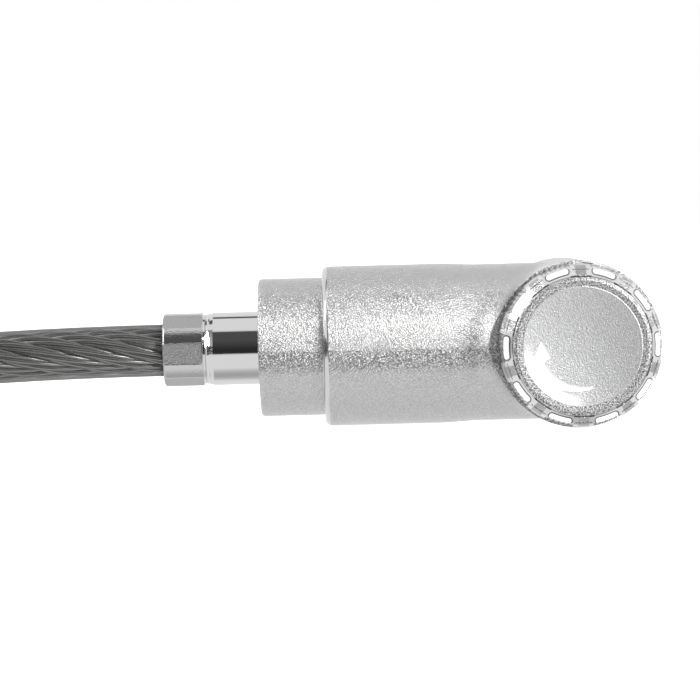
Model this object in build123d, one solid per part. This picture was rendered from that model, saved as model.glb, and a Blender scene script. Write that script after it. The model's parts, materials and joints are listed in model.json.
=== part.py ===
from build123d import *
import math
import os

# Laptop cable lock: a die-cast barrel with a round head across its end, a ribbed dial on the
# head's front, a spreading tip on its back for a 3 x 7 mm security slot, a key cylinder in the
# head's side, and a steel cable that swivels in a collar at the barrel's rear.
#
# Millimetres. X runs along the barrel towards the head, +Y runs along the dial's axis towards the
# laptop, +Z is up. The origin is the centre of the pad face that presses on the laptop. Every part
# is drawn with h, the distance along +Y from the barrel's own axis, and moved by AXIS_Y on saving.

# ---- driving dimensions -------------------------------------------------------------------------
CABLE_D = 5.0            # cable over its jacket
CABLE_R = CABLE_D / 2
BARREL_R = 7.65          # barrel
WAIST_R = 7.50           # barrel just behind the head
HEAD_R = 7.75            # round head, across the barrel
BARREL_REAR = -23.7      # x of the barrel's rear end
WAIST_X = (-12.5, -8.8)  # where the barrel narrows
HEAD_FRONT = -8.5        # h of the head's front face, under the dial
HEAD_BACK = 10.0         # h of the head's back face, under the pad
PAD_T = 1.2              # rubber pad
NECK_FILLET = 2.5        # blend between barrel and head
COLLAR_R = 6.6           # collar in the barrel's rear end
COLLAR_REAR = -29.8
FERRULE_R = 3.5          # crimped cable end
FERRULE_REAR = -39.0
CRIMP_FLAT = 3.33        # crimped end's flats, from the axis
DIAL_R = 7.6             # dial at its base
DIAL_TOP_R = 7.16        # dial where the shoulder starts
DISC_R = 6.4             # face disc
DIAL_FRONT = -13.0       # h of the dial's rim crest
RIB_COUNT = 10
TOOTH_COUNT = 96         # fine grip teeth round the dial
LEAD = 2.0               # draw of the yoke in one turn of the dial
DIAL_TURN = 315.0        # degrees from released to tight
WEDGE_DEG = 23.0         # half angle of the spreader's flare
CRANK_R = 0.9            # eccentric of the key cylinder's cam
RUN = 0.05               # running clearance, on the radius

AXIS_Y = -(HEAD_BACK + PAD_T)
WEDGE = math.tan(math.radians(WEDGE_DEG))
DRAW = LEAD * DIAL_TURN / 360.0
SPREAD = DRAW * WEDGE
THROW = 2 * CRANK_R * math.sin(math.radians(45))
FLOOR = -HEAD_R          # z of the surface the lock lies on
LOW = (Align.CENTER, Align.CENTER, Align.MIN)
BARREL_AXIS = Axis((0, 0, 0), (1, 0, 0))
DIAL_AXIS = Axis((0, 0, 0), (0, 1, 0))


# ---- helpers ------------------------------------------------------------------------------------
def save(name, shape):
    """Move a part from the barrel's axis to the model's origin and write its file."""
    export_step(Pos(0, AXIS_Y, 0) * shape, f"parts/{name}.step")


def along_dial(r, h0, h1, x=0.0, z=0.0):
    """Round bar parallel to the dial's axis, from h0 to h1."""
    return Pos(x, h0, z) * Rot(-90, 0, 0) * Cylinder(r, h1 - h0, align=LOW)


def along_barrel(r, x0, x1, h=0.0, z=0.0):
    """Round bar parallel to the barrel's axis, from x0 to x1."""
    return Pos(x0, h, z) * Rot(0, 90, 0) * Cylinder(r, x1 - x0, align=LOW)


def upright(r, z0, z1, x=0.0, h=0.0):
    """Round bar along Z, from z0 to z1."""
    return Pos(x, h, z0) * Cylinder(r, z1 - z0, align=LOW)


def block(x0, x1, h0, h1, z0, z1):
    """Square block between two corners."""
    mid = Pos((x0 + x1) / 2, (h0 + h1) / 2, (z0 + z1) / 2)
    return mid * Box(x1 - x0, h1 - h0, z1 - z0)


def turned(points, axis):
    """Solid turned about an axis from an outline of (x, h) points."""
    return revolve(make_face(Polyline(*points, close=True)), axis)


def plate(points, z0, z1):
    """Flat outline of (x, h) points, extruded from z0 to z1."""
    return Pos(0, 0, z0) * extrude(make_face(Polyline(*points, close=True)), z1 - z0, dir=(0, 0, 1))


def front_plane(h):
    """Plane facing the user: its x is X and its y is Z."""
    return Plane(origin=(0, h, 0), x_dir=(1, 0, 0), z_dir=(0, -1, 0))


# ---- head and barrel ----------------------------------------------------------------------------
PLATE_SEAT = -7.3        # h of the ledge under the bearing plate
GUIDE_SEAT = 6.9         # h of the floor under the jaw guide
KEY_BORE_R = 3.75
KEY_BORE_END = -5.4
YOKE_SLOT = (1.76, 5.5)  # half width in X and in Z
BOLT_SLOT = (-7.0, -5.4)
SCREW_SPOTS = ((3.0, 3.7), (-3.0, -3.7))
CYLINDER_SCREW_X = 4.6
COLLAR_SCREW_X = -20.7


def housing_outside():
    """Barrel with a slight waist, joined to the round head with one blend."""
    straight = Polyline((BARREL_REAR, 0), (BARREL_REAR, BARREL_R), (WAIST_X[0], BARREL_R))
    waist = Spline((WAIST_X[0], BARREL_R), (WAIST_X[1], WAIST_R), tangents=((1, 0), (1, 0)))
    inner = Polyline((WAIST_X[1], WAIST_R), (0, WAIST_R), (0, 0))
    base = Line((0, 0), (BARREL_REAR, 0))
    barrel = revolve(make_face([straight, waist, inner, base]), BARREL_AXIS)
    body = barrel + along_dial(HEAD_R, HEAD_FRONT - 4.0, HEAD_BACK + 4.0)
    joint = [e for e in body.edges() if e.length > 50 and e.geom_type == GeomType.BSPLINE]
    body = fillet(joint, NECK_FILLET)
    body = body & block(-40, 20, HEAD_FRONT, HEAD_BACK, -20, 20)
    rear = body.edges().filter_by(GeomType.CIRCLE).sort_by(Axis.X)[0]
    return fillet(rear, 0.6)


def housing():
    """One casting with its bores, channels and screw holes."""
    body = housing_outside()
    body -= along_barrel(6.1, BARREL_REAR, -9.5)
    body -= along_barrel(KEY_BORE_R, KEY_BORE_END, 9.0)
    body -= along_dial(5.2, HEAD_FRONT, PLATE_SEAT)
    body -= along_dial(4.4, PLATE_SEAT, -6.6)
    body -= along_dial(5.6, GUIDE_SEAT, HEAD_BACK)
    body -= block(-YOKE_SLOT[0], YOKE_SLOT[0], -6.75, GUIDE_SEAT, -YOKE_SLOT[1], YOKE_SLOT[1])
    body -= block(BOLT_SLOT[0], BOLT_SLOT[1], HEAD_FRONT, 2.3, -2.15, 2.15)
    body -= upright(0.9, -9.0, -3.0, x=CYLINDER_SCREW_X)
    body -= upright(1.0, -9.0, -6.0, x=COLLAR_SCREW_X)
    for x, z in SCREW_SPOTS:
        body -= along_dial(0.75, 4.4, GUIDE_SEAT, x, z)
        body -= along_dial(1.5, 9.2, HEAD_BACK, x, z)
    return body


def rear_collar():
    """Collar pressed into the barrel; the cable end turns in its rear wall."""
    outline = ((COLLAR_REAR, 3.56), (COLLAR_REAR, COLLAR_R - 0.3), (COLLAR_REAR + 0.08, COLLAR_R - 0.09),
               (COLLAR_REAR + 0.3, COLLAR_R), (BARREL_REAR, COLLAR_R), (BARREL_REAR, 6.07),
               (-17.7, 6.07), (-17.7, 5.0), (-26.8, 5.0), (-26.8, 3.56))
    body = turned(outline, BARREL_AXIS)
    return body - upright(1.0, -9.0, -5.8, x=COLLAR_SCREW_X)


def collar_screw():
    """Grub screw that pins the collar, with its hexagon socket."""
    body = upright(1.0, -7.45, -5.8, x=COLLAR_SCREW_X)
    socket = Pos(COLLAR_SCREW_X, 0, -7.45) * extrude(RegularPolygon(0.5, 6), 0.8)
    return body - socket


def stop_disc():
    """Disc that keeps the cable end from sliding into the barrel."""
    return along_barrel(4.98, -24.2, -23.2)


def swivel_washer():
    """Thin washer between the cable end's flange and the collar."""
    return along_barrel(4.9, -26.75, -26.35) - along_barrel(3.6, -27, -26)


def rubber_pad():
    """Ring of rubber on the head's back, with a window for the tip."""
    body = along_dial(7.0, HEAD_BACK, HEAD_BACK + PAD_T)
    rim = body.edges().filter_by(GeomType.CIRCLE).sort_by(Axis.Y)[-1]
    body = fillet(rim, 0.3)
    return body - block(-3.95, 3.95, 9, 13, -1.7, 1.7)


# ---- dial ---------------------------------------------------------------------------------------
DIAL_BACK = HEAD_FRONT - 0.1
SHOULDER = -12.0         # h where the dial's wall turns into its shoulder
WEB_FRONT = -10.9
DISC_SEAT = -12.1
DISH_BOTTOM = -12.60     # h of the dish's middle
DISH_SLOPE = 0.14        # rise of the dish at its edge
ARROW_FLOOR = -12.55


def toothed_ring(r_tip, r_root):
    """Closed zigzag outline with the dial's fine teeth."""
    points = []
    for i in range(2 * TOOTH_COUNT):
        r = r_tip if i % 2 == 0 else r_root
        a = math.pi * i / TOOTH_COUNT
        points.append((r * math.cos(a), r * math.sin(a)))
    return make_face(Polyline(*points, close=True))


def dial_cap():
    """Dial: toothed tapered wall, ten ribs over its shoulder, ten pockets between them."""
    base = front_plane(DIAL_BACK) * toothed_ring(DIAL_R, DIAL_R - 0.14)
    top = front_plane(SHOULDER) * toothed_ring(DIAL_TOP_R, DIAL_TOP_R - 0.06)
    body = loft([base, top], ruled=True)
    body += turned(((0, SHOULDER), (DIAL_TOP_R - 0.03, SHOULDER), (6.42, -12.72), (0, -12.72)), DIAL_AXIS)
    band = turned(((6.0, -10.3), (7.5, -10.3), (7.5, -11.3), (7.22, -12.12), (6.5, -12.8), (6.0, -12.8)),
                  DIAL_AXIS)
    rib = band & block(-0.95, 0.95, -14, -9, 5.5, 8.5)
    facet_plane = Plane(origin=(0, -12.5, 6.86), x_dir=(1, 0, 0), z_dir=(0, -0.72, 0.70))
    facet = extrude(facet_plane * Pos(0, 0, -0.1) * Trapezoid(1.65, 0.62, 60, rotation=180), 0.6)
    pocket_plane = Plane(origin=(0, -12.36, 6.86), x_dir=(1, 0, 0), z_dir=(0, -0.72, 0.70))
    pocket = extrude(pocket_plane * Pos(0, 0, -0.14) * SlotOverall(2.3, 0.60), 0.6)
    for i in range(RIB_COUNT):
        body += Rot(0, 360 * i / RIB_COUNT, 0) * rib
    for i in range(RIB_COUNT):
        body -= Rot(0, 360 * i / RIB_COUNT, 0) * facet
        body -= Rot(0, 360 * (i + 0.5) / RIB_COUNT, 0) * pocket
    body -= along_dial(6.42, -14, DISC_SEAT)
    body -= along_dial(3.3, -14, WEB_FRONT)
    body -= extrude(front_plane(-8) * RegularPolygon(2.5, 6, major_radius=False), 4)
    notch = block(-0.475, 0.475, -9.8, -8, 5.6, 6.9)
    for i in range(24):
        body -= Rot(0, 90 + 15 * i, 0) * notch
    return body


def dial_hub():
    """Threaded nut behind the dial: flange, journal, hexagon."""
    body = along_dial(4.2, -7.2, -6.7)
    body += along_dial(3.0, DIAL_BACK, -7.2)
    body += extrude(front_plane(DIAL_BACK) * RegularPolygon(2.5, 6, major_radius=False), 2.3)
    body -= along_dial(1.75, -9.85, -6.5)
    return body - along_dial(1.0, -11, -9.8)


def dial_screw():
    """Screw that holds the dial on its hub, under the face disc."""
    body = along_dial(3.15, -12.05, WEB_FRONT) + along_dial(1.0, WEB_FRONT, -9.9)
    return body - extrude(front_plane(-11.4) * RegularPolygon(1.0, 6), 1.0)


def ray(r, degrees):
    """Point of the dial's face at radius r, clockwise from the top."""
    a = math.radians(degrees)
    return (r * math.sin(a), r * math.cos(a))


def arrow_outline():
    """Curved arrow that runs clockwise: a thin tail, a wide head."""
    outer = ThreePointArc(ray(3.95, 162), ray(4.35, 206), ray(4.72, 247))
    inner = ThreePointArc(ray(3.65, 249), ray(3.65, 206), ray(3.72, 162))
    head = Polyline(ray(4.72, 247), ray(5.2, 247), ray(3.8, 281), ray(2.95, 251), ray(3.65, 249))
    tail = Line(ray(3.72, 162), ray(3.95, 162))
    return make_face([outer, head, inner, tail])


def dial_disc():
    """Face disc, pressed into the dial: rolled rim, shallow groove, dished middle, engraved arrow."""
    rim = Polyline((0, DISC_SEAT), (DISC_R, DISC_SEAT), (DISC_R, -12.72), (6.34, -12.86), (6.2, -12.96),
                   (6.0, DIAL_FRONT), (5.5, -12.95), (5.42, -12.97))
    dish = Spline((5.42, -12.97), (0, DISH_BOTTOM), tangents=((-1, DISH_SLOPE), (-1, 0)))
    axis = Line((0, DISH_BOTTOM), (0, DISC_SEAT))
    body = revolve(make_face([rim, dish, axis]), DIAL_AXIS)
    return body - extrude(front_plane(ARROW_FLOOR) * arrow_outline(), 0.6)


def bearing_plate():
    """Steel plate that the hub turns in, pressed into the head's front."""
    return along_dial(5.2, -8.0, PLATE_SEAT) - along_dial(3.0 + RUN, -9, -7)


def friction_washer():
    """Washer under the dial that makes it turn stiffly."""
    return along_dial(4.9, -8.5, -8.05) - along_dial(3.1, -9, -8)


# ---- tip: yoke, spreader and jaws ---------------------------------------------------------------
FLARE = 12.2             # h where the flare starts
JAW_END = 14.6
SPREADER_END = 15.0


def draw_yoke():
    """Frame that passes either side of the key cylinder, with the threaded stud in front."""
    body = block(-1.7, 1.7, -4.9, 6.8, -5.4, 5.4)
    body -= block(-2, 2, -3.9, 5.6, -3.9, 3.9)
    body += along_dial(1.7, -8.0, -4.9)
    body -= block(-0.7, 0.7, 5.5, 7, -1.25, 1.25)
    return body - along_barrel(0.5, -2, 2, h=6.2)


def spreader():
    """Blade with a flared end that drives the jaws apart as it is drawn in."""
    wide = 0.7 + (SPREADER_END - FLARE) * WEDGE
    outline = ((-0.7, 5.6), (0.7, 5.6), (0.7, FLARE), (wide, SPREADER_END), (-wide, SPREADER_END),
               (-0.7, FLARE))
    return plate(outline, -1.25, 1.25) - along_barrel(0.5, -2, 2, h=6.2)


def spreader_pin():
    """Cross pin that holds the blade in the yoke."""
    return along_barrel(0.5, -1.6, 1.6, h=6.2)


def jaw(side):
    """Hooked jaw on one side of the spreader: foot, shank and hook."""
    gap = 0.7 + RUN
    deep = gap + (JAW_END - FLARE) * WEDGE
    shank = ((gap, 8.3), (2.7, 8.3), (2.7, 13.0), (3.2, 13.0), (3.2, 13.9), (2.7, JAW_END),
             (deep, JAW_END), (gap, FLARE))
    body = plate(shank, -1.28, 1.28) + block(gap, 4.2, 7.05, 8.3, -1.55, 1.55)
    return body if side > 0 else mirror(body, about=Plane.YZ)


def jaw_guide():
    """Steel nose block: a channel for the jaws' feet and a slot for their shanks."""
    body = along_dial(5.57, GUIDE_SEAT, HEAD_BACK)
    body -= block(-5.05, 5.05, 6, 8.4, -1.65, 1.65)
    body -= block(-3.5, 3.5, 8, 11, -1.35, 1.35)
    for x, z in SCREW_SPOTS:
        body -= along_dial(0.8, 6, 11, x, z)
        body -= along_dial(1.5, 9.2, 11, x, z)
    return body


def guide_screws():
    """Two small screws that hold the nose block, hidden by the pad."""
    screws = []
    for x, z in SCREW_SPOTS:
        one = along_dial(1.45, 9.2, 9.9, x, z) + along_dial(0.7, 4.6, 9.2, x, z)
        screws.append(one - Pos(x, 9.9, z) * Box(2.0, 0.6, 0.35))
    return Compound(children=screws)


# ---- key cylinder and locking bolt --------------------------------------------------------------
CYLINDER_FACE = 6.75
PLUG_R = 2.70
PLUG_END = -4.85
WAFER_X = (-2.9, -1.2, 0.5, 2.2, 3.9)
WAFER_CUT = (0.25, -0.3, 0.1, -0.15, 0.3)


def cylinder_shell():
    """Shell of the key cylinder, with the two grooves that catch the wafers."""
    body = along_barrel(3.7, -4.8, CYLINDER_FACE)
    body -= along_barrel(PLUG_R + RUN, -6, 9)
    body -= along_barrel(3.16, 5.9, 9)
    for z in (2.4, -3.1):
        body -= block(-4.2, 5.4, -1.1, 1.1, z, z + 0.7)
    return body - upright(0.9, -5, -3.5, x=CYLINDER_SCREW_X)


def plug():
    """Turning plug with its keyway and wafer slots."""
    body = along_barrel(PLUG_R, PLUG_END, CYLINDER_FACE) + along_barrel(3.1, 5.95, CYLINDER_FACE)
    body += block(-5.3, PLUG_END, -0.8, 0.8, -0.8, 0.8)
    body -= block(-4.0, 9, -0.45, 0.45, -1.7, 1.7)
    for x in WAFER_X:
        body -= block(x - 0.35, x + 0.35, -1.03, 1.03, -3, 3)
    return body


def wafers():
    """Five wafers, each with its window cut at its own height."""
    group = []
    for x, cut in zip(WAFER_X, WAFER_CUT):
        one = block(x - 0.3, x + 0.3, -1.0, 1.0, -2.35, 2.35)
        group.append(one - block(x - 1, x + 1, -0.5, 0.5, cut - 1.3, cut + 1.3))
    return Compound(children=group)


def cam():
    """Cam on the plug's tail, with the crank pin that drives the bolt."""
    side = CRANK_R * math.sin(math.radians(45))
    body = along_barrel(3.2, -5.3, PLUG_END) + along_barrel(0.45, -6.9, -5.3, h=side, z=-side)
    return body - block(-6, PLUG_END, -0.8, 0.8, -0.8, 0.8) + \
        along_barrel(0.45, -6.9, -5.3, h=side, z=-side)


def cylinder_screw():
    """Grub screw that holds the key cylinder in the head."""
    body = upright(0.9, -6.05, -3.5, x=CYLINDER_SCREW_X)
    socket = Pos(CYLINDER_SCREW_X, 0, -6.05) * extrude(RegularPolygon(0.5, 6), 0.8)
    return body - socket


def locking_bolt():
    """Bolt that the cam pushes into the notches behind the dial."""
    body = block(-6.95, -5.5, -7.1, 2.1, -2.1, 2.1)
    body += block(-6.7, -5.8, -8.45, -7.1, -0.35, 0.35)
    middle = CRANK_R * math.sin(math.radians(45))
    return body - block(-8, -5, middle - 0.53, middle + 0.53, -1.45, -0.1)


# ---- cable --------------------------------------------------------------------------------------
# The cable leaves the crimped end straight, comes down to the surface, lies in a tied coil of two
# and a half layers, and ends in an anchor loop on top of the coil, closed by a crimped sleeve.
TURN_STEP = 5.05                       # one turn to the next, beside and above
COIL_LIFT = 0.6                        # the tie passes under the coil
COIL_X = -91.0
COIL_OUT = 30.1 + TURN_STEP            # radius of the outer turns
COIL_H = -COIL_OUT
LAYER_1 = FLOOR + COIL_LIFT + CABLE_R
COIL_TOP = FLOOR + COIL_LIFT + 2 * TURN_STEP
LAYER_3 = COIL_TOP + TURN_STEP / 2
ARC_SHARE = 0.45                       # part of the shorter run that a bend takes

# Route points. The run: x, h, z. The loop: x and h from the coil's centre, height over layer 3.
RUN_ROUTE = ((-37.5, 0, 0), (-63.0, 0, 0), (-78.0, 0, -3.7), (COIL_X, 0, LAYER_1))
LOOP_ROUTE = ((12.02, -33.03, 0), (23.3, -28.9, 0), (32.9, -17.4, 0), (34.9, -2.5, 0),
              (28.5, 11.1, 0), (15.9, 19.1, 0), (-14.9, 19.1, 4.6), (-27.2, 37.0, 6.2),
              (-49.4, 35.9, 6.6), (-60.3, 16.5, 6.6), (-49.4, -3.0, 6.6), (-27.2, -4.0, 6.2),
              (-14.9, 13.8, 4.6), (6.4, 13.8, 1.42))
SLEEVE_FROM = 7                        # from the route's straight leg's start, along it
SLEEVE_LONG = 13.0
SLEEVE_GAP = 5.3                       # between its two bores


def bend_radii(points):
    """Largest bend that fits each corner of a route."""
    corners = [Vector(*p) for p in points]
    radii = []
    for before, here, after in zip(corners, corners[1:], corners[2:]):
        turn = (here - before).get_angle(after - here)
        shorter = min((here - before).length, (after - here).length)
        radii.append(ARC_SHARE * shorter / math.tan(math.radians(turn / 2)))
    return radii


def tube(name, points):
    """Cable along a route: straight runs joined by tangent arcs."""
    radii = bend_radii(points)
    path = FilletPolyline(*points, radius=radii)
    start = Plane(origin=path @ 0, z_dir=path % 0)
    body = sweep(start * Circle(CABLE_R), path=path)
    ideal = math.pi * CABLE_R ** 2 * path.length
    print(name, "radii", [round(r, 1) for r in radii], "length", round(path.length, 1),
          "volume/ideal", round(body.volume / ideal, 4))
    return body


def cable_run():
    """Cable from the crimped end to the coil."""
    return tube("cable_run", RUN_ROUTE) - cable_coil()


def loop_point(x, h, up):
    """Loop route point in the part's frame."""
    return (COIL_X + x, COIL_H + h, LAYER_3 + up)


def anchor_loop():
    """Far end of the cable: off the coil, through the sleeve, round the loop and back."""
    return tube("anchor_loop", [loop_point(*p) for p in LOOP_ROUTE])


def cable_coil():
    """Outer shape of the coil: two full layers and an outer turn on top of them."""
    inner = COIL_OUT - 2 * TURN_STEP - TURN_STEP / 2
    outer = COIL_OUT + TURN_STEP / 2
    low = Cylinder(outer, 2 * TURN_STEP, align=LOW) - Cylinder(inner, 2 * TURN_STEP, align=LOW)
    step = Pos(COIL_OUT, 0, TURN_STEP / 2) * Rot(90, 0, 0) * Rectangle(TURN_STEP, TURN_STEP)
    third = Rot(0, 0, 90) * revolve(step, Axis.Z, 200)
    body = Pos(0, 0, FLOOR + COIL_LIFT) * low + Pos(0, 0, COIL_TOP) * third
    return Pos(COIL_X, COIL_H, 0) * body


def loop_ferrule():
    """Double sleeve crimped round the cable and its returned end, along the loop's straight leg."""
    leg_start = Vector(*loop_point(*LOOP_ROUTE[5]))
    leg = (Vector(*loop_point(*LOOP_ROUTE[6])) - leg_start).normalized()
    seat = Plane(origin=leg_start + leg * SLEEVE_FROM, x_dir=(0, -1, 0), z_dir=leg)
    oval = Pos(SLEEVE_GAP / 2, 0) * SlotOverall(11.8, 6.8)
    bores = Circle(CABLE_R) + Pos(SLEEVE_GAP, 0) * Circle(CABLE_R)
    body = extrude(seat * oval, SLEEVE_LONG)
    return body - extrude(seat * bores, 30, both=True)


def cable_tie():
    """Hook-and-loop strap round the coil."""
    inside = ((-21.45, FLOOR + COIL_LIFT), (-37.8, FLOOR + COIL_LIFT), (-37.8, COIL_TOP + TURN_STEP + 0.05),
              (-32.0, COIL_TOP + TURN_STEP + 0.05), (-21.45, COIL_TOP + 0.05))
    section = make_face(Polyline(*[(0, h, z) for h, z in inside], close=True))
    hole = extrude(section, 6, both=True, dir=(1, 0, 0))
    outline = offset(section, COIL_LIFT, kind=Kind.ARC)
    band = extrude(outline, 6, both=True, dir=(1, 0, 0))
    return Pos(COIL_X, COIL_H, 0) * (band - hole)


def flat_cut(degrees):
    """Wedge of metal that one face of the crimping die pushes away."""
    outline = ((-40, CRIMP_FLAT), (-35.3, CRIMP_FLAT), (-35.15, 3.6), (-35.15, 5), (-40, 5))
    return Rot(degrees, 0, 0) * plate(outline, -3, 3)


def ferrule():
    """Cable end: crimped hexagonal at the rear, flanged inside the collar."""
    outline = ((FERRULE_REAR, 0), (FERRULE_REAR, FERRULE_R - 0.25), (FERRULE_REAR + 0.06, FERRULE_R - 0.1),
               (FERRULE_REAR + 0.2, FERRULE_R), (-35.2, FERRULE_R), (-35.15, 3.34), (-34.98, 3.30),
               (-34.86, 3.38), (-34.76, 3.34), (-34.62, 3.43), (-34.52, 3.40), (-34.2, FERRULE_R),
               (-26.3, FERRULE_R), (-26.3, 4.7), (-24.3, 4.7), (-24.3, 0))
    body = turned(outline, BARREL_AXIS) - along_barrel(CABLE_R, -40, -30.5)
    for i in range(6):
        body -= flat_cut(60 * i + 4)
    return body


# ---- write the files ----------------------------------------------------------------------------
os.makedirs("parts", exist_ok=True)
PARTS = {
    "housing": housing, "rear_collar": rear_collar, "collar_screw": collar_screw,
    "stop_disc": stop_disc, "swivel_washer": swivel_washer, "rubber_pad": rubber_pad,
    "dial_cap": dial_cap, "dial_hub": dial_hub, "dial_screw": dial_screw, "dial_disc": dial_disc,
    "bearing_plate": bearing_plate, "friction_washer": friction_washer,
    "draw_yoke": draw_yoke, "spreader": spreader, "spreader_pin": spreader_pin,
    "jaw_guide": jaw_guide, "guide_screws": guide_screws,
    "cylinder_shell": cylinder_shell, "plug": plug, "wafers": wafers, "cam": cam,
    "cylinder_screw": cylinder_screw, "locking_bolt": locking_bolt,
    "ferrule": ferrule, "cable_run": cable_run, "cable_coil": cable_coil,
    "anchor_loop": anchor_loop, "loop_ferrule": loop_ferrule, "cable_tie": cable_tie,
}
for name, make in PARTS.items():
    save(name, make())
save("jaw_right", jaw(+1))
save("jaw_left", jaw(-1))
print("draw", round(DRAW, 3), "spread", round(SPREAD, 3), "throw", round(THROW, 3), "axis y", AXIS_Y)
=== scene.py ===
# %% [markdown]
# # A laptop cable lock
# The lock is a bead-blasted metal barrel with a round head across its end. A ribbed dial sits on
# the head's front, a short collar and a bright crimped ferrule sit at the barrel's rear, and a
# steel rope in a smoke-tinted jacket leaves from there. The exact solids come in as the frame, so
# this file adds what the eye needs: the rope, the jacket, the strap, the finishes and the light.

import json
import math

import bpy
import numpy as np
from mathutils import Matrix, Vector


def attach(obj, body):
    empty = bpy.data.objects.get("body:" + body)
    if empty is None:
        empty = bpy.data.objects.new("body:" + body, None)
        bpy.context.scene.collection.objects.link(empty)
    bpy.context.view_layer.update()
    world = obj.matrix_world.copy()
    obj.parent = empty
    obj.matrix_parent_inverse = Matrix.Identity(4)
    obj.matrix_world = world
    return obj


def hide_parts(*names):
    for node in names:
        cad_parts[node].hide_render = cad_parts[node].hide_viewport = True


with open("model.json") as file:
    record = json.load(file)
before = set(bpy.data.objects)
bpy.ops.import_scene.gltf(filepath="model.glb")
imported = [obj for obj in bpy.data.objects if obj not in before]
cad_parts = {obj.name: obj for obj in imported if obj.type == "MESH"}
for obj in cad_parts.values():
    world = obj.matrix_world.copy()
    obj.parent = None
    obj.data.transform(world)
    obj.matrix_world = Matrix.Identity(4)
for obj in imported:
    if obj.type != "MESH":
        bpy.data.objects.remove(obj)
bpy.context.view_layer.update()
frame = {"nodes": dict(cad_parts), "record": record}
nodes = frame["nodes"]
MM = 0.001
AXIS_Y = -11.2 * MM          # the barrel's own axis, in the frame
FLOOR_Z = -7.75 * MM         # what the lock lies on

# %% [markdown]
# ## The camera
# A small product is seen from some way off with a long lens, so its round head stays round. The
# camera looks along the dial's axis from a hand's width above the table. It is turned a degree and
# a half about its own line of sight, so that the barrel climbs a little to the right. Setting the
# lens from the distance and the width that must fit keeps the two tied together.

# %% Camera
SHOT_DISTANCE = 240 * MM
SHOT_HALF_WIDTH = 33.65 * MM
SHOT_CENTRE = Vector((-21.19 * MM, AXIS_Y, -0.44 * MM))
SHOT_ELEVATION = math.radians(3.0)
SHOT_ROLL = math.radians(-1.5)

camera_data = bpy.data.cameras.new("camera")
camera_data.sensor_width = 36.0
camera_data.lens = 18.0 * SHOT_DISTANCE / SHOT_HALF_WIDTH
camera_data.clip_start = 0.01
camera_data.clip_end = 20.0
camera = bpy.data.objects.new("camera", camera_data)
bpy.context.collection.objects.link(camera)
tilt = Matrix.Rotation(math.pi / 2 - SHOT_ELEVATION, 4, "X")
roll = Matrix.Rotation(SHOT_ROLL, 4, "Z")
back = Vector((0, -math.cos(SHOT_ELEVATION), math.sin(SHOT_ELEVATION)))
camera.matrix_world = Matrix.Translation(SHOT_CENTRE + back * SHOT_DISTANCE) @ tilt @ roll
bpy.context.scene.camera = camera
print("lens", round(camera_data.lens, 1), "mm")

# %% [markdown]
# ## The cable's line
# The cable comes straight out of its ferrule, settles onto the table and is wound into a neat
# coil: three turns inwards, three turns outwards on top of them, and a last outer turn that leads
# to the anchor loop. A spline with few control points bends evenly, as a stiff cable does. Each
# turn of the coil keeps its radius and steps to the next track over a short stretch, the way a
# hand lays turns side by side.

# %% Route
CABLE_D = 5.0 * MM
COIL_R = 35.15                             # radius of the coil's outer track, mm
COIL_X, COIL_Y = -91.0, -11.2 - COIL_R     # centre of the coil, mm
COIL_TURNS = 6 + 200 / 360
TRACK = 5.05                               # one turn to the next, mm
LAYER_1, LAYER_3 = -4.65, 5.475            # heights of the coil's layers, mm
TURN_POINTS = 15
STEP_SHARE = 0.14                          # the last share of a turn, where it changes tracks
SPLINE_SHRINK = 0.978                      # a spline cuts inside its control points
SAME_POINT = 1e-7                          # metres
run_points = [(-37.5, -11.2, 0), (-63.0, -11.2, 0), (-78.0, -11.2, -3.7)]
loop_points = [(12.02, -33.03, 0), (23.3, -28.9, 0), (32.9, -17.4, 0), (34.9, -2.5, 0),
               (28.5, 11.1, 0), (15.9, 19.1, 0), (-14.9, 19.1, 4.6), (-27.2, 37.0, 6.2),
               (-49.4, 35.9, 6.6), (-60.3, 16.5, 6.6), (-49.4, -3.0, 6.6), (-27.2, -4.0, 6.2),
               (-14.9, 13.8, 4.6), (6.4, 13.8, 1.42)]


def smooth_step(x):
    """0 below 0, 1 above 1, and 3x^2 - 2x^3 between."""
    x = np.clip(x, 0, 1)
    return x * x * (3 - 2 * x)


def coil_points():
    """Turns that keep their track and step over the last seventh of each: tracks in, then out."""
    turns = np.arange(0, COIL_TURNS, 1 / TURN_POINTS)
    step = np.floor(turns) + smooth_step((turns % 1 - (1 - STEP_SHARE)) / STEP_SHARE)
    radius = COIL_R - TRACK * np.interp(step, [0, 2, 3, 5, 6, 7], [0, 2, 2, 0, 0, 0])
    height = np.interp(step, [0, 2, 3, 5, 6, 7], [0, 0, 1, 1, 2, 2])
    swell = radius / SPLINE_SHRINK
    angle = np.pi / 2 + 2 * np.pi * turns
    x = COIL_X + swell * np.cos(angle)
    y = COIL_Y + swell * np.sin(angle)
    z = LAYER_1 + height * (LAYER_3 - LAYER_1) / 2
    return np.stack([x, y, z], axis=1)


loop_line = [(COIL_X + x, COIL_Y + y, LAYER_3 + z) for x, y, z in loop_points]
route = np.concatenate([np.array(run_points), coil_points(), np.array(loop_line)]) * MM

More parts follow.
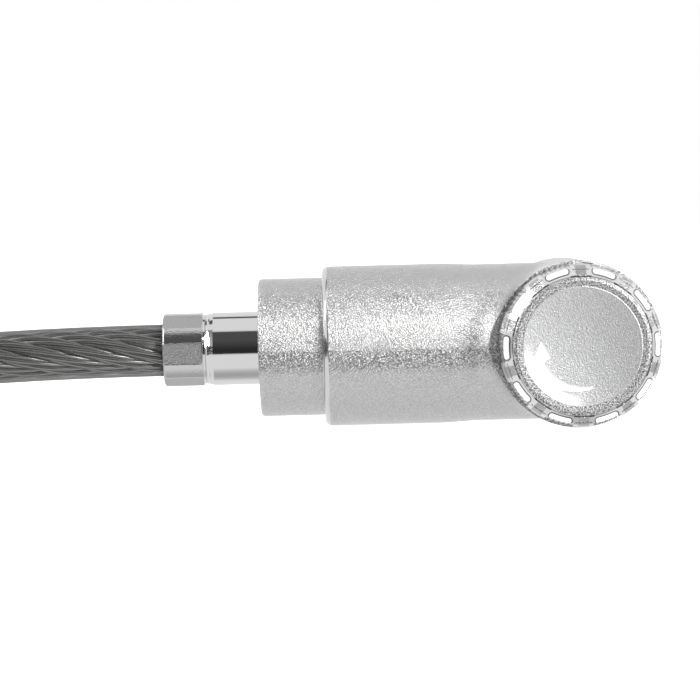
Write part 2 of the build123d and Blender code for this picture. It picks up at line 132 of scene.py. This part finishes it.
curve = bpy.data.curves.new("cable_line", "CURVE")
curve.dimensions = "3D"
curve.resolution_u = 10
spline = curve.splines.new("NURBS")
spline.points.add(len(route) - 1)
spline.points.foreach_set("co", np.c_[route, np.ones(len(route))].ravel())
spline.order_u = 3
spline.use_endpoint_u = True
line_object = bpy.data.objects.new("cable_line", curve)
bpy.context.collection.objects.link(line_object)
line_mesh = bpy.data.meshes.new_from_object(line_object)
line = np.empty(len(line_mesh.vertices) * 3)
line_mesh.vertices.foreach_get("co", line)
line = line.reshape(-1, 3)
bpy.data.objects.remove(line_object)
span = np.linalg.norm(np.diff(line, axis=0), axis=1)
line = line[np.r_[True, span > SAME_POINT]]
travel = np.r_[0, np.cumsum(np.linalg.norm(np.diff(line, axis=0), axis=1))]
CABLE_LENGTH = float(travel[-1])
print("cable", len(line), "points,", round(CABLE_LENGTH, 3), "m long")

# %% [markdown]
# ## Carrying a section along a line
# A tube, a strand and a wire are all the same thing: a small section carried along a line. The
# section needs a pair of directions across the line at every point. Turning the pair only as much
# as the line itself turns keeps the section from spinning, so nothing twists by accident.

# %% Frames along a line and grid meshes


def rail(points):
    """Unit tangent of a line and two directions across it that never spin about it."""
    tangent = np.gradient(points, axis=0)
    tangent /= np.linalg.norm(tangent, axis=1)[:, None]
    side = np.zeros_like(points)
    now = np.array([0.0, 0.0, 1.0])
    for k, t in enumerate(tangent):
        now = now - t * (now @ t)
        now = now / np.linalg.norm(now)
        side[k] = now
    return tangent, side, np.cross(tangent, side)


def grid_faces(rows, columns, closed_rows=False):
    """Quads of a rows x columns grid. Its columns close on themselves, and its rows where asked."""
    r, c = np.meshgrid(np.arange(rows if closed_rows else rows - 1), np.arange(columns), indexing="ij")
    next_r, next_c = (r + 1) % rows, (c + 1) % columns
    corners = [r * columns + c, r * columns + next_c, next_r * columns + next_c, next_r * columns + c]
    return np.stack(corners, -1).reshape(-1, 4)


def show(name, mesh):
    """Object at the origin that shows a mesh."""
    piece = bpy.data.objects.new(name, mesh)
    bpy.context.collection.objects.link(piece)
    return piece


def mesh_piece(name, points, faces, smooth=True):
    """Object from arrays of points (metres) and faces that all have the same number of corners."""
    mesh = bpy.data.meshes.new(name)
    mesh.vertices.add(len(points))
    mesh.vertices.foreach_set("co", np.ascontiguousarray(points, dtype=np.float32).ravel())
    mesh.loops.add(faces.size)
    mesh.loops.foreach_set("vertex_index", faces.ravel().astype(np.int32))
    mesh.polygons.add(len(faces))
    mesh.polygons.foreach_set("loop_start", np.arange(0, faces.size, faces.shape[1], dtype=np.int32))
    mesh.update(calc_edges=True)
    mesh.validate()
    mesh.polygons.foreach_set("use_smooth", np.full(len(mesh.polygons), smooth))
    return show(name, mesh)


def capped_piece(name, points, quads, triangles, uv):
    """Smooth object from quads, the triangles that cap them, and one uv pair per point."""
    mesh = bpy.data.meshes.new(name)
    mesh.from_pydata(points.tolist(), [], quads.tolist() + triangles.tolist())
    mesh.update()
    layer = mesh.uv_layers.new(name="UVMap")
    corners = np.empty(len(mesh.loops), dtype=np.int32)
    mesh.loops.foreach_get("vertex_index", corners)
    layer.data.foreach_set("uv", uv[corners].astype(np.float32).ravel())
    mesh.polygons.foreach_set("use_smooth", np.ones(len(mesh.polygons), dtype=bool))
    return show(name, mesh)


def tube_piece(name, points, radius, sides):
    """Closed tube: circles across a line, with one point at the middle of each end."""
    side, across = rail(points)[1:]
    a = np.linspace(0, 2 * np.pi, sides, endpoint=False)
    ring = np.cos(a)[None, :, None] * side[:, None] + np.sin(a)[None, :, None] * across[:, None]
    surface = (points[:, None] + radius * ring).reshape(-1, 3)
    first = len(surface)
    surface = np.concatenate([surface, points[:1], points[-1:]])
    c = np.arange(sides)
    d = (c + 1) % sides
    end_row = first - sides
    start_cap = np.stack([np.full(sides, first), d, c], -1)
    end_cap = np.stack([np.full(sides, first + 1), end_row + c, end_row + d], -1)
    along = np.r_[0, np.cumsum(np.linalg.norm(np.diff(points, axis=0), axis=1))]
    uv = np.stack(np.broadcast_arrays(along[:, None], a[None, :] / (2 * np.pi)), -1).reshape(-1, 2)
    uv = np.concatenate([uv, [[0, 0]], [[along[-1], 0]]])
    caps = np.concatenate([start_cap, end_cap])
    return capped_piece(name, surface, grid_faces(len(points), sides), caps, uv)


# %% [markdown]
# ## The jacket
# The jacket is one long tube of clear, smoke-tinted plastic. It is the cord itself: its length and
# thickness are what counts, and the steel inside rides along with it.

# %% Jacket
JACKET_SIDES = 24
jacket = tube_piece("cable_jacket", line, CABLE_D / 2, JACKET_SIDES)
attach(jacket, "cable_end")
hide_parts("cable_run", "cable_coil", "anchor_loop")
print("jacket", len(jacket.data.polygons), "faces")

# %% [markdown]
# ## The steel rope
# Real wire rope is wires twisted into strands, and strands twisted the other way into a rope. The
# wires then run nearly along the rope while the strands cross it on a slant, and that is the look
# one recognises. It could be a bump pattern, but glints on real round wires move rightly with the
# light, so every outer wire is modelled. Near the ferrule the wires are finely divided; in the
# coil, seen only through the jacket, they are coarser.

# %% Rope
STRANDS = 8
STRAND_RING = 1.60 * MM
STRAND_PITCH = 32.4 * MM
WIRES = 6
WIRE_RING = 0.42 * MM
WIRE_PITCH = 13.0 * MM
WIRE_R = 0.205 * MM
FINE_STEP, FINE_SIDES = 0.5 * MM, 8
COARSE_STEP, COARSE_SIDES = 2.2 * MM, 5
END_GAP = 0.5 * MM                         # the wires stop this far inside the jacket's ends


def resample(points, distance, start, stop, step):
    """Points along a line at even steps between two distances from its start."""
    s = np.linspace(start, stop, max(2, int(round((stop - start) / step)) + 1))
    return s, np.stack([np.interp(s, distance, points[:, k]) for k in range(3)], axis=1)


full_side, full_across = rail(line)[1:]


def rope_piece(name, start, stop, step, sides):
    """Every outer wire of every strand: a helix on a helix, with a small ring carried along it."""
    s, middle = resample(line, travel, start, stop, step)
    side = resample(full_side, travel, start, stop, step)[1]
    across = resample(full_across, travel, start, stop, step)[1]
    strand = 2 * np.pi * (np.arange(STRANDS)[:, None] / STRANDS + s[None, :] / STRAND_PITCH)
    out = np.cos(strand)[..., None] * side + np.sin(strand)[..., None] * across
    turning = -np.sin(strand)[..., None] * side + np.cos(strand)[..., None] * across
    wire = 2 * np.pi * (np.arange(WIRES)[:, None] / WIRES - s[None, :] / WIRE_PITCH)
    c, d = np.cos(wire)[None, :, :, None], np.sin(wire)[None, :, :, None]
    centre = middle + STRAND_RING * out[:, None] + WIRE_RING * (c * out[:, None] + d * turning[:, None])
    a = np.linspace(0, 2 * np.pi, sides, endpoint=False)
    ring = np.cos(a)[None, :, None] * side[:, None] + np.sin(a)[None, :, None] * across[:, None]
    surface = centre[:, :, :, None, :] + WIRE_R * ring[None, None]
    count = STRANDS * WIRES
    faces = grid_faces(len(s), sides)
    offsets = (np.arange(count) * len(s) * sides)[:, None, None]
    all_faces = (faces[None] + offsets).reshape(-1, 4)
    piece = mesh_piece(name, surface.reshape(-1, 3), all_faces)
    print(name, len(all_faces) * 2, "triangles")
    return piece


FINE_END = 55 * MM
MIDDLE_END = (CABLE_LENGTH + FINE_END) / 2
ropes = [rope_piece("wire_rope_front", END_GAP, FINE_END, FINE_STEP, FINE_SIDES),
         rope_piece("wire_rope_lower", FINE_END, MIDDLE_END, COARSE_STEP, COARSE_SIDES),
         rope_piece("wire_rope_upper", MIDDLE_END, CABLE_LENGTH - END_GAP, COARSE_STEP, COARSE_SIDES)]
for rope in ropes:
    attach(rope, "cable_end")

# %% [markdown]
# ## The strap
# A hook-and-loop strap holds the coil. It is flat webbing, so it is a flat section carried round
# the bundle in one closed band.

# %% Strap
STRAP_WIDTH = 12 * MM
STRAP_THICK = 0.6 * MM
STRAP_SIDES = 24
FLAT_POWER, EDGE_POWER = 0.22, 0.6         # below 1, the section's circle turns into a slab
wrap = np.array([(-21.35, -7.1), (-29.5, -7.12), (-37.85, -7.1), (-38.15, -2.0), (-38.1, 4.0),
                 (-37.9, 7.9), (-35.2, 8.35), (-32.0, 8.2), (-27.0, 5.8), (-21.6, 3.15),
                 (-21.1, 1.0), (-21.1, -4.0), (-21.2, -7.05)])
wrap_h, wrap_z = wrap[:, 0] * MM + COIL_Y * MM, wrap[:, 1] * MM


def rounded(points, repeats=3):
    """Corner cutting: each pass swaps a corner for two points a quarter of the way along its sides."""
    for _ in range(repeats):
        following = np.roll(points, -1, axis=0)
        points = np.stack([0.75 * points + 0.25 * following, 0.25 * points + 0.75 * following], 1)
        points = points.reshape(-1, 2)
    return points


def strap_piece():
    """Flat section carried round the bundle: inner face, rounded edges, outer face."""
    path = rounded(np.stack([wrap_h, wrap_z], axis=1))
    heading = np.roll(path, -1, axis=0) - np.roll(path, 1, axis=0)
    heading /= np.linalg.norm(heading, axis=1)[:, None]
    outward = np.stack([heading[:, 1], -heading[:, 0]], axis=1)
    middle = path.mean(axis=0)
    outward *= np.sign(np.sum(outward * (path - middle), axis=1).sum())
    a = np.linspace(0, 2 * np.pi, STRAP_SIDES, endpoint=False)
    flat = STRAP_WIDTH / 2 * np.sign(np.cos(a)) * np.abs(np.cos(a)) ** FLAT_POWER
    thick = STRAP_THICK / 2 * np.sign(np.sin(a)) * np.abs(np.sin(a)) ** EDGE_POWER
    x = np.broadcast_to(COIL_X * MM + flat, (len(path), STRAP_SIDES))
    y = path[:, 0][:, None] + outward[:, 0][:, None] * thick
    z = path[:, 1][:, None] + outward[:, 1][:, None] * thick
    points = np.stack([x, y, z], -1).reshape(-1, 3)
    return mesh_piece("strap", points, grid_faces(len(path), STRAP_SIDES, closed_rows=True))


strap = strap_piece()
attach(strap, "cable_end")
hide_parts("cable_tie")

# %% [markdown]
# ## Finishes
# All the metals are one shader with a different roughness and a different small relief. Blasting
# with fine beads leaves dents about a tenth of a millimetre wide. They blur reflections and make the
# surface sparkle, so they are relief first. In some bands and rings their dark floors are colour too:
# on the barrel those bands are painted shade, darker pits where the barrel mirrors the dark room.

# %% Shader helpers


def mm(*lengths):
    """Lengths in millimetres as metres."""
    return [length * MM for length in lengths]


def shader(name):
    """New material: its node tree and its surface shader."""
    material = bpy.data.materials.new(name)
    material.use_nodes = True
    tree = material.node_tree
    return material, tree, tree.nodes["Principled BSDF"]


def add(tree, kind, **sockets):
    """New node with values set on its sockets by name."""
    node = tree.nodes.new(kind)
    for key, value in sockets.items():
        if key in node.inputs:
            node.inputs[key].default_value = value
        else:
            setattr(node, key, value)
    return node


def join(tree, kind, *sources, **sockets):
    """New node fed by sockets or numbers in order; gives its first output."""
    node = add(tree, kind, **sockets)
    for k, source in enumerate(sources):
        if isinstance(source, (int, float)):
            node.inputs[k].default_value = source
        else:
            tree.links.new(source, node.inputs[k])
    return node.outputs[0]


def maths(tree, operation, *sources):
    """One sum on sockets or numbers, such as ADD."""
    return join(tree, "ShaderNodeMath", *sources, operation=operation)


def product(tree, a, b):
    """Product of two sockets."""
    return maths(tree, "MULTIPLY", a, b)


def between(tree, value, start, stop):
    """Smooth 0 to 1 as a value goes from start to stop."""
    return join(tree, "ShaderNodeMapRange", value, start, stop, interpolation_type="SMOOTHSTEP")


def band(tree, value, start, full, fading, stop):
    """Smooth 0 to 1 and back to 0 as a value passes four marks in turn."""
    return product(tree, between(tree, value, start, full), between(tree, value, stop, fading))


def blend_of(tree, factor, at_0, at_1):
    """Number that goes from one value to another as a factor goes from 0 to 1."""
    return join(tree, "ShaderNodeMapRange", factor, 0.0, 1.0, at_0, at_1)


def grey_of(tree, value):
    """Grey colour as light as a number."""
    return join(tree, "ShaderNodeCombineColor", value, value, value)


def parts_of(tree, where):
    """The x, y and z of a place."""
    parts = add(tree, "ShaderNodeSeparateXYZ")
    tree.links.new(where, parts.inputs[0])
    return parts.outputs


def distance_of(tree, a, b):
    """Length of the pair of two sockets: the root of the sum of their squares."""
    return maths(tree, "SQRT", maths(tree, "ADD", product(tree, a, a), product(tree, b, b)))


def metal(name, colour, roughness, grain_size, grain_depth):
    """Bare metal whose relief is noise in object coordinates, its size and depth in metres."""
    material, tree, surface = shader(name)
    surface.inputs["Metallic"].default_value = 1.0
    surface.inputs["Base Color"].default_value = (*colour, 1.0)
    surface.inputs["Roughness"].default_value = roughness
    where = add(tree, "ShaderNodeTexCoord").outputs["Object"]
    noise = add(tree, "ShaderNodeTexNoise", Scale=1.0 / grain_size, Detail=2.0, Roughness=0.6)
    bump = add(tree, "ShaderNodeBump", Strength=1.0, Distance=grain_depth)
    tree.links.new(where, noise.inputs["Vector"])
    tree.links.new(noise.outputs["Fac"], bump.inputs["Height"])
    tree.links.new(bump.outputs["Normal"], surface.inputs["Normal"])
    return material, tree, surface, bump, where


def plastic(name, colour, roughness, grain_size, grain_depth):
    """Plastic or rubber with small relief."""
    material, tree, surface = metal(name, colour, roughness, grain_size, grain_depth)[:3]
    surface.inputs["Metallic"].default_value = 0.0
    return material


# %% Blasted metal
GRIT, GRIT_DEPTH = mm(0.125, 0.09)
PIT_SIZE = 0.13 * MM
SATIN_GREY, SATIN_ROUGH = 0.64, 0.25
POLISH_ROUGH = 0.10
BEVEL_X = mm(-23.78, -23.72, -23.24, -23.18)
# Painted shade: darker pits are painted in the two strips below, where the barrel mirrors the dark front of
# the room and the dark strip behind.
FRONT_STRIP_Z = mm(-2.6, -1.4, -0.3, 0.1)
UPPER_STRIP_Z = mm(2.4, 3.4, 4.6, 5.4)


def blasted(name):
    """Bead-blasted metal."""
    return metal(name, (SATIN_GREY, SATIN_GREY, SATIN_GREY), SATIN_ROUGH, GRIT, GRIT_DEPTH)


def pits_of(tree, where):
    """Noise whose low places are dark pits; the barrel shows them only in its bands of painted shade."""
    pits = add(tree, "ShaderNodeTexNoise", Scale=1.0 / PIT_SIZE, Detail=1.0)
    tree.links.new(where, pits.inputs["Vector"])
    return pits.outputs["Fac"]


def barrel_finish():
    """Blasted, with darker pits painted in two strips along the barrel as painted shade, and a polished bevel
    round its rear edge.
    """
    material, tree, surface, bump, where = blasted("blasted_metal")
    x, _, z = parts_of(tree, where)
    bevel = band(tree, x, *BEVEL_X)
    pit = between(tree, pits_of(tree, where), 0.60, 0.40)
    # Painted shade: the pits turn darker only in the two strips, which stand for the dark room the barrel
    # mirrors there.
    painted_shade_bands = maths(tree, "ADD", blend_of(tree, band(tree, z, *FRONT_STRIP_Z), 0.08, 0.36),
                   blend_of(tree, band(tree, z, *UPPER_STRIP_Z), 0.0, 0.16))
    painted_shade_bands = product(tree, painted_shade_bands, blend_of(tree, bevel, 1.0, 0.0))
    grey = maths(tree, "SUBTRACT", SATIN_GREY + 0.04, product(tree, pit, painted_shade_bands))
    tree.links.new(grey_of(tree, grey), surface.inputs["Base Color"])
    tree.links.new(blend_of(tree, bevel, SATIN_ROUGH, POLISH_ROUGH), surface.inputs["Roughness"])
    tree.links.new(blend_of(tree, bevel, 1.0, 0.05), bump.inputs["Strength"])
    return material


# %% [markdown]
# The dial has a fine face with a dark, pitted ring round it. Its lower left is painted near-white as a
# painted highlight, and so is the engraved arrow. Ten pockets and ten facets go round its shoulder;
# the pockets are painted white as a painted reflection with a dark outline of painted shade, the facets
# and the back of the side wall are painted darker as painted shade, and the rest of the shoulder is
# painted lighter as a painted highlight. A turn is cut into ten equal slices, so that one slot shape,
# measured along the arc and away from its middle radius, gives all the pockets.

# %% Dial
SLICES = 10
POCKET_R, POCKET_HALF = mm(6.95, 0.82)     # the pockets' middle radius, half their straight length
# Each pair below is where a mark starts and where it is full. A depth is in front of the axis.
DISC_R, DISC_DEPTH = mm(6.35, 6.28), mm(12.30, 12.40)
# The face is darker and pitted from here out to the disc's edge.
GROOVE_R = mm(5.42, 5.52)
# The arrow is engraved in the face. It and the crescent on the next line are painted near-white as a painted
# highlight.
ARROW_R, ARROW_DEPTH = mm(5.6, 5.5), mm(12.585, 12.565)
HIGHLIGHT_CRESCENT_R, HIGHLIGHT_CRESCENT_LEAN = mm(4.3, 4.9), (-0.90, -1.38)
SHOULDER_R, SHOULDER_DEPTH = mm(6.40, 6.46), mm(11.5, 11.7)
# From this depth back towards the head, the dial's side wall is painted dark as painted shade.
WALL_DEPTH = mm(10.3, 10.2)
# Pocket edges: inside them the pockets are painted white as a painted reflection; the four outline marks draw
# a thin ring of painted shade round each.
POCKET_EDGE, OUTLINE_SHADE_EDGE = mm(0.26, 0.20), mm(0.22, 0.27, 0.33, 0.40)
FACET_SHARE = (0.37, 0.40)
# Of these greys the wall, facet and outline ones are painted shade and the shoulder one is a painted
# highlight.
SIDE_GREY, WALL_SHADE_GREY, SHOULDER_HIGHLIGHT_GREY, FACET_SHADE_GREY, OUTLINE_SHADE_GREY = 0.66, 0.30, 0.80, 0.50, 0.22
# The near-white below is painted light: a painted highlight on the crescent and arrow, a painted reflection
# in the pockets.
DISC_GREYS, GROOVE_GREYS, PAINTED_WHITE_GREY = (0.52, 0.78), (0.16, 0.80), 0.97


def dial_finish():
    """Blasted dial with a dark pitted ring on its face, and painted light: a painted highlight on the face's
    lower left and on the arrow, painted reflections in the pockets, painted shade round them, on the facets
    and on the back of its side wall, and a painted highlight on the shoulder.
    """
    material, tree, surface, bump, where = blasted("blasted_dial")
    x, y, z = parts_of(tree, where)
    reach = distance_of(tree, x, z)
    depth = maths(tree, "SUBTRACT", AXIS_Y, y)

    face = between(tree, depth, *DISC_DEPTH)
    disc = product(tree, face, between(tree, reach, *DISC_R))
    # A darker, pitted ring from here out to the disc's edge.
    groove = product(tree, disc, between(tree, reach, *GROOVE_R))
    lean = maths(tree, "DIVIDE", maths(tree, "ADD", x, z), reach)
    # Painted highlight: a crescent on the face's lower left, painted near-white where the dish would mirror
    # the key lamp.
    painted_highlight_crescent = product(tree, between(tree, lean, *HIGHLIGHT_CRESCENT_LEAN),
                       product(tree, between(tree, reach, *HIGHLIGHT_CRESCENT_R), between(tree, groove, 1.0, 0.0)))
    arrow = product(tree, between(tree, depth, *ARROW_DEPTH),
                    product(tree, face, between(tree, reach, *ARROW_R)))
    shine = product(tree, disc, maths(tree, "MAXIMUM", arrow, painted_highlight_crescent))

    turned = maths(tree, "ARCTAN2", x, z)
    slice_part = maths(tree, "FRACT", maths(tree, "MULTIPLY", turned, SLICES / (2 * math.pi)))
    off_middle = maths(tree, "ABSOLUTE", maths(tree, "SUBTRACT", slice_part, 0.5))
    along_arc = maths(tree, "MULTIPLY", off_middle, 2 * math.pi * POCKET_R / SLICES)
    past_straight = maths(tree, "MAXIMUM", maths(tree, "SUBTRACT", along_arc, POCKET_HALF), 0.0)
    from_slot = distance_of(tree, past_straight, maths(tree, "SUBTRACT", reach, POCKET_R))
    shoulder = product(tree, between(tree, depth, *SHOULDER_DEPTH), between(tree, reach, *SHOULDER_R))
    # Painted reflection: the pockets are painted white, standing for their floors mirroring the bright room.
    painted_pocket_reflection = product(tree, shoulder, between(tree, from_slot, *POCKET_EDGE))
    # Painted shade: a thin dark outline round each pocket.
    painted_outline_shade = product(tree, shoulder, band(tree, from_slot, *OUTLINE_SHADE_EDGE))
    # The facets between the pockets are painted darker as painted shade; they are also rougher in relief
    # below.
    facet = product(tree, shoulder, between(tree, off_middle, *FACET_SHARE))

    pitted = join(tree, "ShaderNodeMapRange", pits_of(tree, where), 0.38, 0.62, *GROOVE_GREYS)
    # Near-white where a painted highlight (crescent and arrow) or a painted reflection (pockets) goes.
    white = maths(tree, "MAXIMUM", shine, painted_pocket_reflection)
    # Painted shade: the back of the dial's side wall, next to the head, is painted dark.
    side = blend_of(tree, between(tree, depth, *WALL_DEPTH), SIDE_GREY, WALL_SHADE_GREY)
    # Painted light on the shoulder: its rim painted lighter as a painted highlight, the facets and outlines
    # darker as painted shade.
    grey = blend_of(tree, painted_outline_shade, blend_of(tree, facet, SHOULDER_HIGHLIGHT_GREY, FACET_SHADE_GREY), OUTLINE_SHADE_GREY)
    grey = blend_of(tree, shoulder, side, grey)
    grey = blend_of(tree, disc, grey, blend_of(tree, pitted, *DISC_GREYS))
    grey = blend_of(tree, white, blend_of(tree, groove, grey, pitted), PAINTED_WHITE_GREY)
    tree.links.new(grey_of(tree, grey), surface.inputs["Base Color"])
    tree.links.new(blend_of(tree, disc, 0.24, 0.46), surface.inputs["Roughness"])
    gritty = blend_of(tree, facet, blend_of(tree, disc, 0.25, 0.55), 0.8)
    tree.links.new(blend_of(tree, shine, gritty, 0.1), bump.inputs["Strength"])
    # Where the white is painted, the metal turns mostly non-metal so the painted white shows under any lamp.
    tree.links.new(blend_of(tree, white, 1.0, 0.2), surface.inputs["Metallic"])
    return material


# %% Ferrule
CHROME_GREY, CHROME_ROUGH = 0.74, 0.08
FLATS_R, FLATS_X = mm(3.55, 3.42), mm(-35.15, -35.25)


def ferrule_finish():
    """Bright turned rings, and dull flats where the crimping tool pressed."""
    material, tree, surface, bump, where = metal("polished_ferrule", (CHROME_GREY, CHROME_GREY, CHROME_GREY),
                                                 CHROME_ROUGH, 0.16 * MM, 0.08 * MM)
    x, y, z = parts_of(tree, where)
    off_axis = maths(tree, "SUBTRACT", y, AXIS_Y)
    flats = product(tree, between(tree, distance_of(tree, off_axis, z), *FLATS_R), between(tree, x, *FLATS_X))
    tree.links.new(grey_of(tree, blend_of(tree, flats, 0.70, 0.50)), surface.inputs["Base Color"])
    tree.links.new(blend_of(tree, flats, CHROME_ROUGH, 0.34), surface.inputs["Roughness"])
    tree.links.new(blend_of(tree, flats, 0.01, 0.8), bump.inputs["Strength"])
    return material


# %% [markdown]
# The jacket is clear but tinted: light that crosses its edge runs through more of it.

# %% Jacket's smoke


def jacket_finish():
    """Smoke-tinted clear plastic, thinner to look through where it faces the eye."""
    material, tree, surface = metal("smoke_jacket", (0.05, 0.05, 0.05), 0.22, 1.5 * MM, 0.02 * MM)[:3]
    surface.inputs["Metallic"].default_value = 0.0
    surface.inputs["Specular IOR Level"].default_value = 0.25
    slant = add(tree, "ShaderNodeLayerWeight", Blend=0.5).outputs["Facing"]
    alpha = join(tree, "ShaderNodeMapRange", slant, 0.25, 0.80, 0.40, 0.97)
    tree.links.new(alpha, surface.inputs["Alpha"])
    return material


# %% Every slot's finish
machined = metal("machined_steel", (0.56, 0.56, 0.57), 0.25, 0.4 * MM, 0.002 * MM)[0]
polished = metal("polished_cylinder", (0.72, 0.72, 0.73), 0.12, 0.4 * MM, 0.001 * MM)[0]
wafer_brass = metal("wafer_brass", (0.72, 0.53, 0.26), 0.3, 0.3 * MM, 0.002 * MM)[0]
rope_steel = metal("rope_steel", (0.66, 0.66, 0.64), 0.24, 0.3 * MM, 0.004 * MM)[0]
washer_plastic = plastic("washer_plastic", (0.80, 0.80, 0.77), 0.5, 0.3 * MM, 0.002 * MM)
pad_rubber = plastic("pad_rubber", (0.03, 0.03, 0.03), 0.7, 0.2 * MM, 0.006 * MM)
strap_cloth = plastic("strap_cloth", (0.03, 0.03, 0.032), 0.9, 0.25 * MM, 0.05 * MM)
smoke = jacket_finish()

finishes = {
    "satin_metal": barrel_finish(), "dial_metal": dial_finish(), "steel": machined,
    "cylinder_metal": polished, "brass": wafer_brass, "washer_plastic": washer_plastic,
    "pad_rubber": pad_rubber, "ferrule_chrome": ferrule_finish(), "cable_jacket": smoke,
    "strap": strap_cloth,
}
slot_of = {s["node"]: s["material_slot"] for s in frame["record"]["subparts"]}
for name, node in nodes.items():
    node.data.materials.clear()
    node.data.materials.append(finishes[slot_of[name]])
jacket.data.materials.append(smoke)
strap.data.materials.append(strap_cloth)
for rope in ropes:
    rope.data.materials.append(rope_steel)

# %% [markdown]
# ## Floor and light
# The lock lies on a plain pale table in a white room. Polished metal shows its surroundings, so the
# room matters more than the lamps. It is dark in front, where the camera stands, and that gives the
# bright ferrule its black band. A dark strip high up behind draws a line along the barrel's upper
# side, and the room dims straight below. The camera itself sees plain white all round.

# %% Floor
FLOOR_HALF = 3.0                           # metres
FLOOR_GAP = 0.02 * MM
corners = np.array([(-1, -1, 0), (1, -1, 0), (1, 1, 0), (-1, 1, 0)]) * FLOOR_HALF
floor = mesh_piece("floor", corners + np.array([0, 0, FLOOR_Z - FLOOR_GAP]), np.array([[0, 1, 2, 3]]),
                   smooth=False)
paper, tree, surface = shader("paper")
surface.inputs["Base Color"].default_value = (0.8, 0.8, 0.8, 1)
surface.inputs["Roughness"].default_value = 0.9
surface.inputs["Emission Color"].default_value = (1, 1, 1, 1)
surface.inputs["Emission Strength"].default_value = 0.85
floor.data.materials.append(paper)
floor.visible_glossy = False

# %% Room
ROOM_GREY = 0.94
FRONT_UP, FRONT_AHEAD, FRONT_BESIDE = (-0.30, -0.20, 0.83, 0.88), (-0.20, -0.30), (0.72, 0.46)
STRIP_UP, STRIP_AHEAD = (0.82, 0.85, 0.90, 0.93), (0.05, 0.15)

world = bpy.data.worlds.new("room")
world.use_nodes = True
bpy.context.scene.world = world
tree = world.node_tree
tree.nodes.clear()

across, ahead, up = parts_of(tree, add(tree, "ShaderNodeTexCoord").outputs["Generated"])
beside = maths(tree, "ABSOLUTE", across)
front = product(tree, between(tree, ahead, *FRONT_AHEAD), between(tree, beside, *FRONT_BESIDE))
front = product(tree, front, band(tree, up, *FRONT_UP))
behind = product(tree, between(tree, ahead, *STRIP_AHEAD), band(tree, up, *STRIP_UP))
under = join(tree, "ShaderNodeMapRange", up, -0.88, -1.0, 0.0, 0.5)
dark = maths(tree, "MAXIMUM", maths(tree, "MAXIMUM", front, behind), under)
gloom = join(tree, "ShaderNodeMapRange", up, 0.0, 0.5, 0.03, 0.09)
mix = add(tree, "ShaderNodeMix", data_type="RGBA")
mix.inputs[6].default_value = (ROOM_GREY, ROOM_GREY, ROOM_GREY, 1)
tree.links.new(grey_of(tree, gloom), mix.inputs[7])
tree.links.new(dark, mix.inputs[0])
seen = add(tree, "ShaderNodeBackground")
tree.links.new(mix.outputs[2], seen.inputs["Color"])
backdrop = add(tree, "ShaderNodeBackground", Strength=1.0)
backdrop.inputs["Color"].default_value = (1, 1, 1, 1)
is_camera = add(tree, "ShaderNodeLightPath").outputs["Is Camera Ray"]
choose = add(tree, "ShaderNodeMixShader")
tree.links.new(is_camera, choose.inputs[0])
tree.links.new(seen.outputs[0], choose.inputs[1])
tree.links.new(backdrop.outputs[0], choose.inputs[2])
output = add(tree, "ShaderNodeOutputWorld")
tree.links.new(choose.outputs[0], output.inputs["Surface"])

# %% Lamps
LAMP_AIM = Vector((-12 * MM, AXIS_Y, 0))


def lamp(name, azimuth, elevation, distance, size, power):
    """Square soft lamp aimed at the lock. Azimuth 0 is the camera's side, positive to the right."""
    data = bpy.data.lights.new(name, "AREA")
    data.size = size
    data.energy = power
    light = bpy.data.objects.new(name, data)
    bpy.context.collection.objects.link(light)
    a, e = math.radians(azimuth), math.radians(elevation)
    away = Vector((math.sin(a) * math.cos(e), -math.cos(a) * math.cos(e), math.sin(e)))
    facing = away.to_track_quat("Z", "Y").to_matrix().to_4x4()
    light.matrix_world = Matrix.Translation(LAMP_AIM + away * distance) @ facing


lamp("key", 42, 26, 0.6, 0.30, 3.6)
lamp("side", -80, 36, 0.5, 0.14, 0.9)

bpy.context.scene.view_settings.view_transform = "Standard"
